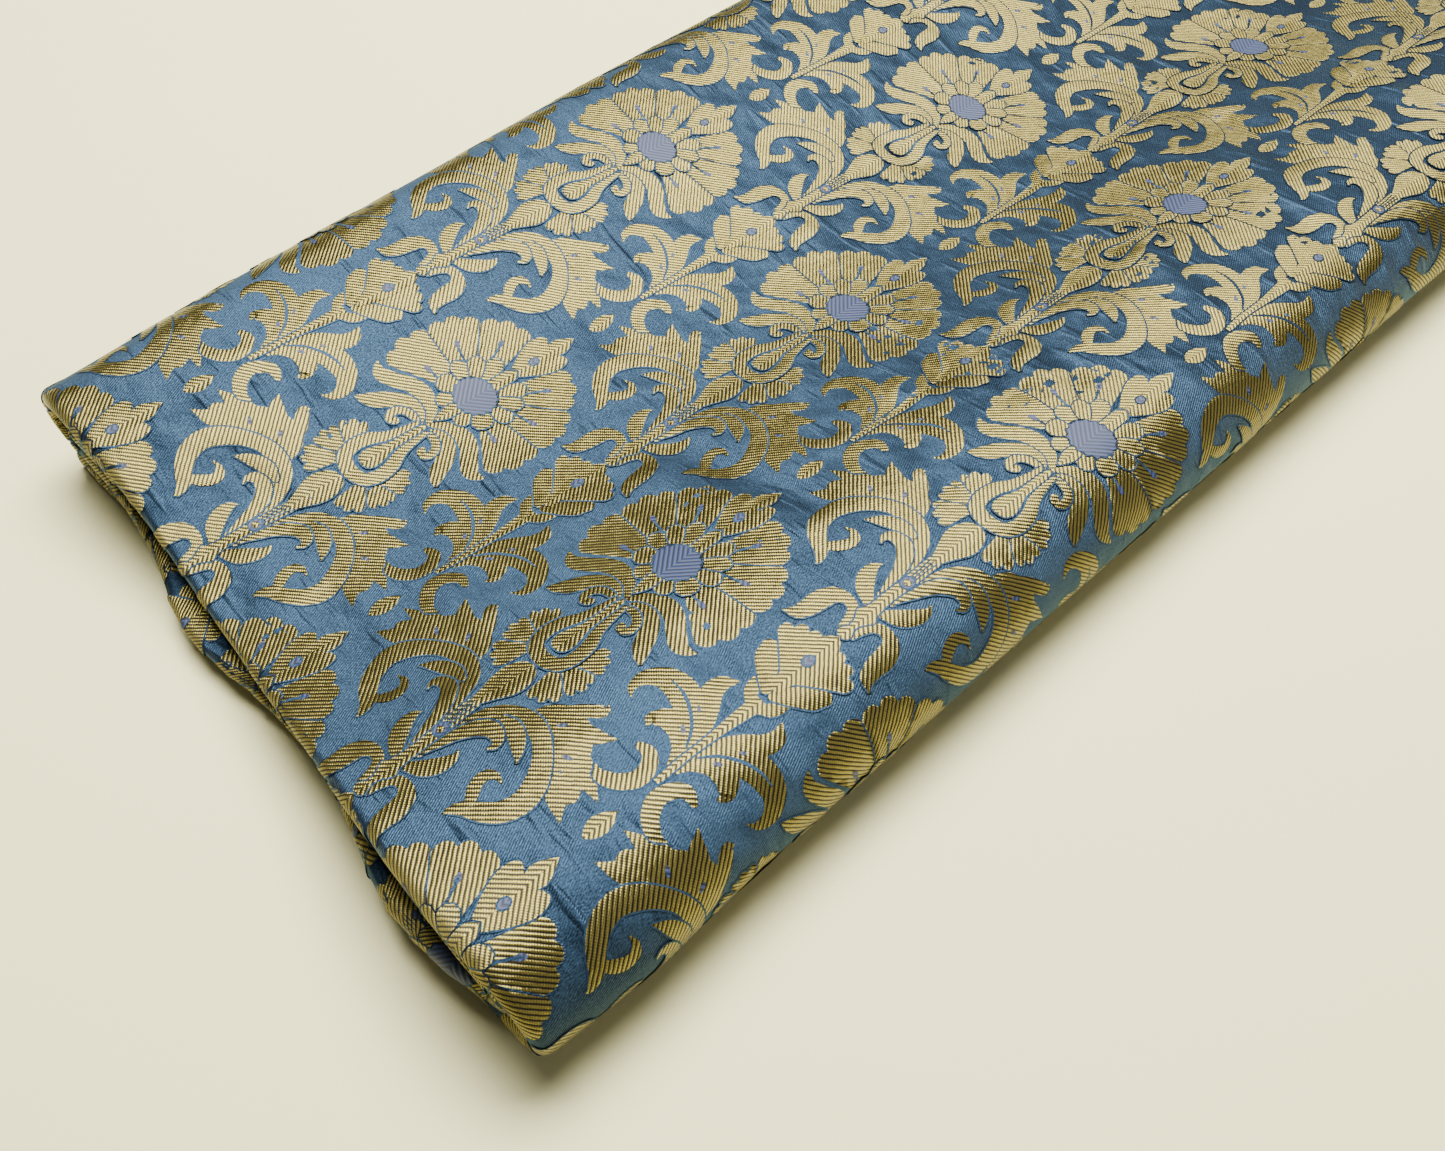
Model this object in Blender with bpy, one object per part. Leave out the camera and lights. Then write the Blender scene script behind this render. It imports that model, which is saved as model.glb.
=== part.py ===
"""Folded brocade panel: one length of cloth, doubled end to end and rolled flat across its width.

Metres, +Z up. +X runs along the length, -Y is the near long edge, and z = 0 is the table.
The cloth lies in four runs across the width, each of two plies that join at the left end:
  base    on the table, from the free edge on the far side to the near edge
  top     from the near roll to the far roll, the face that shows
  lower   on the base, from the far roll back to the near side
  core    under the top, from the small near turn to its free edge inside the far roll
"""
import math

import bmesh
import bpy

RIGHT_END = 0.306           # where the outer plies are cut
NEAR_SIDE = -0.149          # outermost line of the near roll
NEAR_ROLL_REACH = 0.030     # how far the near roll stands out past its centre line
FAR_ROLL_REACH = 0.0195     # the same for the far roll
CLOTH = 0.0024              # thickness of one ply
RUNS = 4
RUN_GAP_FLAT = 0.0004       # between runs where the stack is pressed thin
RUN_GAP_LOFTY = 0.0022      # between runs where it stands full height
LOW_HEIGHT = 0.022          # stack height in the dip
HIGH_HEIGHT = 0.042         # stack height at the two crests
CORE_TURN_SHIFT = 0.006     # centre of the small inner near turn, out past the roll's centre line
FREE_EDGE_INSET = 0.006     # base run's free edge, in from the far side
RIGHT_STEP = 0.004          # inner plies end this much short of the outer ones
FAR_CREST = 0.1295          # where the crown's table has its far crest
FAR_WARP_FROM = 0.048       # beyond this the crown stretches, to keep its crest at the far roll

# The far long edge runs a little askew: x, y of the outermost line of the far roll
FAR_LINE = (
    (-0.300, 0.1420),
    (-0.220, 0.1490),
    (-0.143, 0.1540),
    (-0.050, 0.1600),
    (0.045, 0.1640),
    (0.306, 0.1680),
)

# The top run's left fold, from the near corner to the far one: y, x
LEFT_LINE = (
    (-0.150, -0.2995),
    (-0.098, -0.3012),
    (-0.029, -0.2980),
    (0.028, -0.2955),
    (0.078, -0.2938),
    (0.142, -0.2965),
)

# Height of the stack across the width: y, height
CROWN = (
    (-0.1490, 0.0420),
    (-0.1185, 0.0420),
    (-0.0905, 0.0403),
    (-0.0630, 0.0349),
    (-0.0355, 0.0285),
    (-0.0080, 0.0236),
    (0.0200, 0.0221),
    (0.0480, 0.0241),
    (0.0750, 0.0301),
    (0.1020, 0.0373),
    (0.1295, 0.0420),
    (0.1490, 0.0420),
)

# Soft rises and hollows of the whole stack: x, y, height, spread along x, spread along y
SWELLS = (
    (-0.235, 0.030, -0.0008, 0.050, 0.050),
    (-0.150, -0.070, 0.0010, 0.070, 0.040),
    (-0.060, 0.060, 0.0012, 0.080, 0.050),
    (0.020, -0.030, -0.0006, 0.060, 0.040),
    (0.110, 0.070, -0.0012, 0.070, 0.050),
    (0.190, -0.060, 0.0012, 0.070, 0.050),
    (0.270, 0.020, -0.0006, 0.060, 0.060),
)

# How far each run's left fold stands out past the top run's: run, at mid width
LEFT_POKE = {"base": 0.0050, "top": 0.0, "lower": 0.0080, "core": 0.0035}

# Points from the near roll's centre line to the far one's, and round a turn
RUN_STEPS = 11
NEAR_TURN_STEPS = 10
FAR_TURN_STEPS = 8
CORE_TURN_STEPS = 8
# Points along the length, and round the left fold
LENGTH_STEPS = 13
FOLD_STEPS = 6


def slope_at(rows, row):
    """Slope of a table's curve at one of its rows, from the rows on both sides."""
    if row in (0, len(rows) - 1):
        return 0.0
    (low, value_low), (high, value_high) = rows[row - 1], rows[row + 1]
    return (value_high - value_low) / (high - low)


def smooth_curve(rows, place):
    """Value at a place on a smooth curve through a table's rows, level past both ends."""
    place = min(max(place, rows[0][0]), rows[-1][0])
    row = next(index for index in range(len(rows) - 1) if place <= rows[index + 1][0])
    (low, value_low), (high, value_high) = rows[row], rows[row + 1]
    span = high - low
    share = (place - low) / span
    rest = 1 - share
    ease = share * share * (3 - 2 * share)
    bend = slope_at(rows, row) * share * rest * rest - slope_at(rows, row + 1) * share * share * rest
    return value_low + (value_high - value_low) * ease + span * bend


def crown_place(x, y):
    """Where a point of the width falls in the crown's table."""
    if y < FAR_WARP_FROM:
        return y
    far_centre = smooth_curve(FAR_LINE, x) - FAR_ROLL_REACH
    return FAR_WARP_FROM + (y - FAR_WARP_FROM) * (FAR_CREST - FAR_WARP_FROM) / (far_centre - FAR_WARP_FROM)


def stack_height(x, y):
    """Full height of the stack over a point of the table."""
    height = smooth_curve(CROWN, crown_place(x, y))
    for at_x, at_y, rise, spread_x, spread_y in SWELLS:
        reach = ((x - at_x) / spread_x) ** 2 + ((y - at_y) / spread_y) ** 2
        height += rise * math.exp(-reach)
    return height


def layer_sizes(x, y):
    """Thickness of one two-ply run and of the gap between runs."""
    height = stack_height(x, y)
    loft = min(max((height - LOW_HEIGHT) / (HIGH_HEIGHT - LOW_HEIGHT), 0.0), 1.0)
    gap = RUN_GAP_FLAT + (RUN_GAP_LOFTY - RUN_GAP_FLAT) * loft
    run = (height - (RUNS - 1) * gap) / RUNS
    return run, gap


def run_level(x, y, order):
    """Middle height of a run, counted from 0 at the table."""
    run, gap = layer_sizes(x, y)
    return order * (run + gap) + run / 2


def near_line(x):
    """Outermost line of the near roll: it drifts a little, as nobody folds cloth dead straight."""
    corner_flare = 0.0020 * math.exp(-((x + 0.265) / 0.030) ** 2)
    return NEAR_SIDE - corner_flare + 0.0008 * math.sin(9.0 * x + 0.6)


def run_line(x, order, places, facing):
    """Points straight across the stack: place, outward direction, run thickness, share across."""
    points = []
    for y in places:
        level = run_level(x, y, order)
        run, _ = layer_sizes(x, y)
        slope = 0.0
        if order:
            slope = (run_level(x, y + 0.001, order) - run_level(x, y - 0.001, order)) / 0.002
        size = math.hypot(1.0, slope)
        share = (y - places[0]) / (places[-1] - places[0])
        points.append(((y, level), (-slope * facing / size, facing / size), run, share))
    return points


def turn_line(x, centre_y, levels, reach, steps, side):
    """Points round a turn, an upright half ellipse, without its two ends. No reach: a half circle."""
    run, _ = layer_sizes(x, centre_y)
    start, end = (run_level(x, centre_y, order) for order in levels)
    middle = (start + end) / 2
    tall = abs(end - start) / 2
    wide = reach - run / 2 if reach else tall
    points = []
    for step in range(1, steps):
        angle = math.pi * (step / steps - 0.5)
        along = math.sin(angle) * (1 if end > start else -1)
        out = math.cos(angle)
        normal = (side * out / wide, along / tall)
        size = math.hypot(*normal)
        place = (centre_y + side * wide * out, middle + tall * along)
        points.append((place, (normal[0] / size, normal[1] / size), run, step / steps))
    return points


def fold_path(x):
    """The cloth's way round the stack at one place along the length, from edge to edge."""
    near = near_line(x)
    far = smooth_curve(FAR_LINE, x)
    near_centre = near + NEAR_ROLL_REACH
    far_centre = far - FAR_ROLL_REACH
    core_centre = near_centre - CORE_TURN_SHIFT
    across = [
        near_centre + (far_centre - near_centre) * step / (RUN_STEPS - 1) for step in range(RUN_STEPS)
    ]
    back = across[::-1]
    path = []
    path += [("base", *point) for point in run_line(x, 0, [far - FREE_EDGE_INSET] + back, -1)]
    roll = turn_line(x, near_centre, (0, 3), NEAR_ROLL_REACH, NEAR_TURN_STEPS, -1)
    path += [("near roll", *point) for point in roll]
    path += [("top", *point) for point in run_line(x, 3, across, 1)]
    roll = turn_line(x, far_centre, (3, 1), FAR_ROLL_REACH, FAR_TURN_STEPS, 1)
    path += [("far roll", *point) for point in roll]
    path += [("lower", *point) for point in run_line(x, 1, back + [core_centre], -1)]
    turn = turn_line(x, core_centre, (1, 2), None, CORE_TURN_STEPS, -1)
    path += [("core turn", *point) for point in turn]
    path += [("core", *point) for point in run_line(x, 2, [core_centre] + across, 1)]
    return path


def left_fold_x(name, y, share):
    """Where a run's left fold lies: the lower runs stand out in the middle and meet at the corners."""
    poke = LEFT_POKE.get(name, 0.0)
    return smooth_curve(LEFT_LINE, y) - poke * math.sin(math.pi * share) ** 1.5


def ply_points():
    """Way along the length: outer ply from right to left, round the fold, inner ply back."""
    stations = []
    for step in range(LENGTH_STEPS):
        stations.append(("outer", 1 - step / (LENGTH_STEPS - 1)))
    for step in range(1, FOLD_STEPS):
        stations.append(("fold", math.pi * step / FOLD_STEPS))
    for step in range(LENGTH_STEPS):
        stations.append(("inner", step / (LENGTH_STEPS - 1)))
    return stations


def cloth_point(station, index):
    """One point of the cloth's middle surface."""
    part, amount = station
    right = RIGHT_END - (RIGHT_STEP if part == "inner" else 0.0)
    name, (y, _), _, run, share = fold_path(LEFT_LINE[0][1])[index]
    half = (run - CLOTH) / 2
    left = left_fold_x(name, y, share) + CLOTH / 2 + half
    if part == "fold":
        x = left - half * math.sin(amount)
    else:
        x = left + (right - left) * amount
    _, (y, z), (out_y, out_z), run, _ = fold_path(x)[index]
    half = (run - CLOTH) / 2
    offset = {"outer": half, "inner": -half, "fold": half * math.cos(amount)}[part]
    return x, y + out_y * offset, z + out_z * offset


def cloth_material():
    material = bpy.data.materials.new("brocade_blue_gold")
    material.use_nodes = True
    shader = material.node_tree.nodes["Principled BSDF"]
    shader.inputs["Base Color"].default_value = (0.20, 0.23, 0.22, 1.0)
    shader.inputs["Roughness"].default_value = 0.55
    shader.inputs["Metallic"].default_value = 0.0
    return material


def centre_on_table(cloth):
    """Put the finished stack's box over the origin, with its underside at z = 0."""
    bpy.context.view_layer.update()
    finished = cloth.evaluated_get(bpy.context.evaluated_depsgraph_get())
    corners = [vertex.co for vertex in finished.data.vertices]
    lows = [min(corner[axis] for corner in corners) for axis in range(3)]
    highs = [max(corner[axis] for corner in corners) for axis in range(3)]
    for vertex in cloth.data.vertices:
        vertex.co.x -= (lows[0] + highs[0]) / 2
        vertex.co.y -= (lows[1] + highs[1]) / 2
        vertex.co.z -= lows[2]


def folded_cloth():
    sheet = bmesh.new()
    path_steps = len(fold_path(0.0))
    rows = []
    for station in ply_points():
        rows.append([sheet.verts.new(cloth_point(station, index)) for index in range(path_steps)])
    for row, following in zip(rows, rows[1:]):
        for index in range(path_steps - 1):
            sheet.faces.new((row[index], row[index + 1], following[index + 1], following[index]))
    mesh = bpy.data.meshes.new("folded_brocade")
    sheet.to_mesh(mesh)
    sheet.free()
    mesh.shade_smooth()
    mesh.materials.append(cloth_material())
    cloth = bpy.data.objects.new("folded_brocade", mesh)
    bpy.context.scene.collection.objects.link(cloth)
    thickness = cloth.modifiers.new("cloth thickness", "SOLIDIFY")
    thickness.thickness = CLOTH
    thickness.offset = 0.0
    thickness.use_even_offset = True
    centre_on_table(cloth)
    return cloth


def main():
    for old in list(bpy.data.objects):
        bpy.data.objects.remove(old, do_unlink=True)
    folded_cloth()


main()
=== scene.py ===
"""Looks of a folded brocade panel: slate blue satin with woven gold flowers, lying on a pale table.

Every mesh is drawn flat first, in metres, as the cloth comes off the loom: x along its length, y across
its width and z up from its face. One table of the folded cloth then carries it onto the folds.
"""
import math

import bmesh
import bpy
import numpy as np
from mathutils import Matrix, Vector


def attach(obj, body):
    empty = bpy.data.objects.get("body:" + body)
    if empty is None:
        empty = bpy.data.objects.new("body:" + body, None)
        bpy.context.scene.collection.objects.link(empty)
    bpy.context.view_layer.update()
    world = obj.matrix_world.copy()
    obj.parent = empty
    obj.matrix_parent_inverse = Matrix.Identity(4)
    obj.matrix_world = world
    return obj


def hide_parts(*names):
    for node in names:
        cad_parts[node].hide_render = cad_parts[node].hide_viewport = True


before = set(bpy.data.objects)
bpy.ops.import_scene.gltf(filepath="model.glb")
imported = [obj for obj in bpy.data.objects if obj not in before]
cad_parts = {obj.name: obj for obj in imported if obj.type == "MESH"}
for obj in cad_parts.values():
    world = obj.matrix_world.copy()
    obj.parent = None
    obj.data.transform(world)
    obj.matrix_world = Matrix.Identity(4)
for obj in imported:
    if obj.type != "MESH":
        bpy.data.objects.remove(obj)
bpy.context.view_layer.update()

# How the cloth is folded, in metres, in the fold's own measure. The stack's middle is at STACK_MIDDLE there.
STACK_MIDDLE = (0.00032, 0.00842)
RIGHT_END = 0.3055
NEAR_SIDE = -0.149
NEAR_BULGE_X = -0.265       # the near roll stands out a little there
NEAR_BULGE = 0.0020
NEAR_BULGE_SPREAD = 0.030
NEAR_DRIFT = 0.0008         # and drifts in and out along the length
NEAR_DRIFT_TURNS = 9.0
NEAR_DRIFT_START = 0.6
NEAR_ROLL_REACH = 0.030
FAR_ROLL_REACH = 0.0195
RUNS = 4
RUN_GAP_FLAT = 0.0004
RUN_GAP_LOFTY = 0.0022
LOW_HEIGHT = 0.022
HIGH_HEIGHT = 0.042
CORE_TURN_SHIFT = 0.006
FREE_EDGE_INSET = 0.006
FAR_CREST = 0.1295
FAR_WARP_FROM = 0.048
SLOPE_STEP = 0.001

# Points on the fold's way round: a top run, another run, a roll and the inner turn
TOP_STEPS = 120
RUN_STEPS = 80
ROLL_STEPS = 40
CORE_STEPS = 20
STATIONS = np.linspace(-0.312, 0.312, 157)   # places along the length that have a way worked out

# The far long edge runs a little askew: x, y of the outermost line of the far roll
FAR_LINE = (
    (-0.3, 0.142),
    (-0.22, 0.149),
    (-0.143, 0.154),
    (-0.05, 0.16),
    (0.045, 0.164),
    (0.306, 0.168),
)

# The top run's left fold, from the near corner to the far one: y, x
LEFT_LINE = (
    (-0.15, -0.2995),
    (-0.098, -0.3012),
    (-0.029, -0.298),
    (0.028, -0.2955),
    (0.078, -0.2938),
    (0.142, -0.2965),
)

# Height of the stack across the width: y, height
CROWN = (
    (-0.149, 0.042),
    (-0.1185, 0.042),
    (-0.0905, 0.0403),
    (-0.063, 0.0349),
    (-0.0355, 0.0285),
    (-0.008, 0.0236),
    (0.02, 0.0221),
    (0.048, 0.0241),
    (0.075, 0.0301),
    (0.102, 0.0373),
    (0.1295, 0.042),
    (0.149, 0.042),
)

# Soft rises and hollows of the whole stack: x, y, height, spread along x, spread along y
SWELLS = (
    (-0.235, 0.03, -0.0008, 0.05, 0.05),
    (-0.15, -0.07, 0.001, 0.07, 0.04),
    (-0.06, 0.06, 0.0012, 0.08, 0.05),
    (0.02, -0.03, -0.0006, 0.06, 0.04),
    (0.11, 0.07, -0.0012, 0.07, 0.05),
    (0.19, -0.06, 0.0012, 0.07, 0.05),
    (0.27, 0.02, -0.0006, 0.06, 0.06),
    (-0.275, -0.01, 0.0016, 0.05, 0.045),
    (-0.245, 0.098, 0.0022, 0.06, 0.03),
)

# Short soft ridges and hollows pressed into the stack: from x, y to x, y, rise, half width
CREASES = (
    (-0.143, -0.019, -0.132, -0.076, -0.0017, 0.0058),
    (-0.156, -0.028, -0.143, -0.082, 0.001, 0.0058),
    (-0.078, -0.065, -0.099, -0.098, -0.0014, 0.0062),
    (-0.035, -0.06, -0.047, -0.088, -0.0013, 0.0058),
    (-0.046, -0.034, -0.057, -0.064, -0.0011, 0.0058),
    (0.043, -0.072, 0.035, -0.101, 0.0013, 0.0058),
    (0.074, -0.004, 0.048, -0.048, 0.0014, 0.0062),
    (0.215, -0.06, 0.203, -0.089, 0.0013, 0.0062),
    (0.002, -0.112, -0.003, -0.135, 0.0011, 0.0058),
    (0.152, -0.04, 0.133, -0.08, -0.0014, 0.0066),
    (-0.117, 0.08, -0.127, 0.04, -0.0014, 0.0062),
    (-0.016, -0.07, -0.027, -0.098, -0.0013, 0.0058),
    (-0.262, 0.07, -0.254, 0.041, -0.0013, 0.0058),
    (-0.264, 0.007, -0.271, -0.036, -0.0015, 0.0062),
    (-0.255, -0.058, -0.245, -0.093, 0.0013, 0.0058),
    (-0.031, 0.057, -0.025, 0.028, 0.0011, 0.0058),
    (0.164, 0.027, 0.156, -0.01, 0.0013, 0.0062),
    (0.102, -0.095, 0.095, -0.125, -0.0013, 0.0058),
    (0.037, 0.067, 0.041, 0.035, -0.0013, 0.0062),
    (-0.195, -0.09, -0.196, -0.121, -0.0011, 0.0058),
    (0.25, 0.06, 0.235, 0.01, 0.0014, 0.0066),
    (0.11, 0.11, 0.118, 0.07, -0.0013, 0.0062),
    (-0.23, 0.094, -0.228, 0.07, -0.0011, 0.0058),
    (-0.236, -0.012, -0.233, -0.036, 0.001, 0.0058),
    (-0.224, 0.036, -0.228, 0.006, -0.001, 0.0058),
    (-0.275, 0.04, -0.276, 0.014, 0.0011, 0.0058),
)

# How far each lower run's left fold shows beyond the top run's, from the near corner on: y, poke
LEFT_POKES = {
    "core": ((-0.14, 0.0), (-0.095, -0.0008), (0.05, -0.0012), (0.14, 0.0)),
    "lower": (
        (-0.14, 0.0), (-0.11, 0.0035), (-0.085, 0.006), (-0.064, 0.002), (-0.035, -0.001),
        (-0.006, 0.001), (0.02, 0.007), (0.045, 0.0085), (0.068, 0.004), (0.095, 0.0005), (0.14, 0.0),
    ),
    "base": (
        (-0.14, 0.0), (-0.105, 0.0015), (-0.085, 0.003), (-0.064, 0.0), (-0.035, -0.002),
        (-0.006, 0.0), (0.02, 0.004), (0.045, 0.005), (0.068, 0.002), (0.095, 0.0), (0.14, 0.0),
    ),
}

# The woven pattern: columns lie across the width, and every second one is half a repeat along
COLUMN = 0.056
REPEAT = 0.26234
FIRST_FLOWER = -0.3104      # x of a flower's disc in the first column
FIRST_COLUMN_Y = 0.102      # where the first column crosses the top run
REPEATS = range(-2, 5)      # repeats along the length, counted from FIRST_FLOWER
LENGTH_CUT = REPEAT / 60    # cells of the flat cloth
WIDTH_CUT = COLUMN / 16
LIP_CELLS = 4               # cells in the left fold for each one elsewhere
LIP_MARGIN = 0.004          # the pattern is cut as finely this far beyond it
COARSE_LENGTH = 5           # cells that one on the inner ply takes up, along and across
COARSE_WIDTH = 4
COARSE_UNIT_LENGTH = 20     # and that a cell of the hidden pattern takes up along
SLIVER = 0.004              # a cell at a free edge is not narrower than this
TOP_FACE = (-0.294, 0.084)  # flat y from under the near roll to under the far one
FACE_INSET = 0.0007         # the satin's face lies this deep, and the gold reaches the fold's outer face
PLY = 0.0020
INNER_END = -0.894          # flat x where the inner ply stops, a little short of the right end
LIP = (-0.322, -0.286)      # flat x of the left fold, which needs finer cuts


def smooth_curve(rows, place):
    """Values at some places on a smooth curve through a table's rows, level past both ends."""
    knots, values = np.array(rows, float).T
    slopes = np.zeros(len(knots))
    slopes[1:-1] = (values[2:] - values[:-2]) / (knots[2:] - knots[:-2])
    place = np.clip(place, knots[0], knots[-1])
    row = np.clip(np.searchsorted(knots, place) - 1, 0, len(knots) - 2)
    span = knots[row + 1] - knots[row]
    share = (place - knots[row]) / span
    rest = 1 - share
    ease = share * share * (3 - 2 * share)
    bend = slopes[row] * share * rest * rest - slopes[row + 1] * share * share * rest
    return values[row] + (values[row + 1] - values[row]) * ease + span * bend


def stack_height(x, y):
    """Full height of the stack over points of the table."""
    far_centre = smooth_curve(FAR_LINE, x) - FAR_ROLL_REACH
    stretch = (FAR_CREST - FAR_WARP_FROM) / (far_centre - FAR_WARP_FROM)
    place = np.where(y < FAR_WARP_FROM, y, FAR_WARP_FROM + (y - FAR_WARP_FROM) * stretch)
    height = smooth_curve(CROWN, place)
    for at_x, at_y, rise, spread_x, spread_y in SWELLS:
        height = height + rise * np.exp(-((x - at_x) / spread_x) ** 2 - ((y - at_y) / spread_y) ** 2)
    for from_x, from_y, to_x, to_y, rise, half_width in CREASES:
        run_x, run_y = to_x - from_x, to_y - from_y
        length = math.hypot(run_x, run_y)
        ahead = ((x - from_x) * run_x + (y - from_y) * run_y) / length
        aside = ((x - from_x) * run_y - (y - from_y) * run_x) / length
        beyond = np.maximum(np.maximum(-ahead, ahead - length), 0.0)
        height = height + rise * np.exp(-(aside * aside + beyond * beyond) / half_width ** 2)
    return height


def layer_sizes(x, y):
    """Thickness of one run, and the gap between runs."""
    height = stack_height(x, y)
    loft = np.clip((height - LOW_HEIGHT) / (HIGH_HEIGHT - LOW_HEIGHT), 0.0, 1.0)
    gap = RUN_GAP_FLAT + (RUN_GAP_LOFTY - RUN_GAP_FLAT) * loft
    return (height - (RUNS - 1) * gap) / RUNS, gap


def run_level(x, y, order):
    """Middle height of a run, counted from 0 at the table."""
    run, gap = layer_sizes(x, y)
    return order * (run + gap) + run / 2


def near_line(x):
    """Outermost line of the near roll, which drifts a little."""
    bulge = NEAR_BULGE * np.exp(-((x - NEAR_BULGE_X) / NEAR_BULGE_SPREAD) ** 2)
    return NEAR_SIDE - bulge + NEAR_DRIFT * np.sin(NEAR_DRIFT_TURNS * x + NEAR_DRIFT_START)


def run_line(x, order, start, end, steps, facing):
    """Straight across the stack: rows of y, z, outward y, outward z, run thickness, share across."""
    share = np.linspace(0.0, 1.0, steps)
    y = start + (end - start) * share
    run, _ = layer_sizes(x, y)
    level = run_level(x, y, order)
    slope = run_level(x, y + SLOPE_STEP, order) - run_level(x, y - SLOPE_STEP, order)
    slope = slope / (2 * SLOPE_STEP)
    slope = slope * (1 if order else 0)
    size = np.hypot(1.0, slope)
    return np.stack([y, level, -slope * facing / size, facing / size, run, share], axis=1)


def turn_line(x, centre_y, levels, reach, steps, side):
    """Round a turn, an upright half ellipse, or a half circle where no reach is given."""
    run = float(layer_sizes(x, centre_y)[0])
    start, end = (float(run_level(x, centre_y, order)) for order in levels)
    tall = abs(end - start) / 2
    wide = reach - run / 2 if reach else tall
    angle = math.pi * (np.arange(1, steps) / steps - 0.5)
    along = np.sin(angle) * (1 if end > start else -1)
    out = np.cos(angle)
    size = np.hypot(out / wide, along / tall)
    y = centre_y + side * wide * out
    level = (start + end) / 2 + tall * along
    share = angle / math.pi + 0.5
    return np.stack(
        [y, level, side * out / wide / size, along / tall / size, np.full(len(y), run), share], axis=1
    )


def fold_path(x):
    """The cloth's way round the stack at one place along the length, and which part each point is in."""
    near = float(near_line(x))
    far = float(smooth_curve(FAR_LINE, x))
    near_centre = near + NEAR_ROLL_REACH
    far_centre = far - FAR_ROLL_REACH
    core_centre = near_centre - CORE_TURN_SHIFT
    parts = (
        ("base", run_line(x, 0, far - FREE_EDGE_INSET, near_centre, RUN_STEPS, -1)),
        ("near roll", turn_line(x, near_centre, (0, 3), NEAR_ROLL_REACH, ROLL_STEPS, -1)),
        ("top", run_line(x, 3, near_centre, far_centre, TOP_STEPS, 1)),
        ("far roll", turn_line(x, far_centre, (3, 1), FAR_ROLL_REACH, ROLL_STEPS, 1)),
        ("lower", run_line(x, 1, far_centre, core_centre, RUN_STEPS, -1)),
        ("core turn", turn_line(x, core_centre, (1, 2), None, CORE_STEPS, -1)),
        ("core", run_line(x, 2, core_centre, far_centre, RUN_STEPS, 1)),
    )
    names = [name for name, rows in parts for _ in rows]
    return names, np.concatenate([rows for _, rows in parts])


def surface_way(path, names):
    """Length along the cloth's outer face, counted from the first column's place on the top run."""
    face = path[:, 0:2] + path[:, 2:4] * path[:, 4:5] / 2
    steps = np.hypot(*np.diff(face, axis=0).T)
    way = np.concatenate([[0.0], np.cumsum(steps)])
    top = np.array([name == "top" for name in names])
    return way - np.interp(FIRST_COLUMN_Y, path[top, 0], way[top])


def cut_lines():
    """Where the flat cloth is cut into cells, along its length and across its width."""
    along = [RIGHT_END]
    place = FIRST_FLOWER + LENGTH_CUT * math.floor((RIGHT_END - FIRST_FLOWER) / LENGTH_CUT - 0.2)
    while place > LIP[0]:
        along.append(place)
        place -= LENGTH_CUT / LIP_CELLS if LIP[0] < place < LIP[1] else LENGTH_CUT
    while place > INNER_END:
        along.append(place)
        place -= LENGTH_CUT * COARSE_LENGTH
    along.append(INNER_END)
    return np.array(along[::-1])


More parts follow.
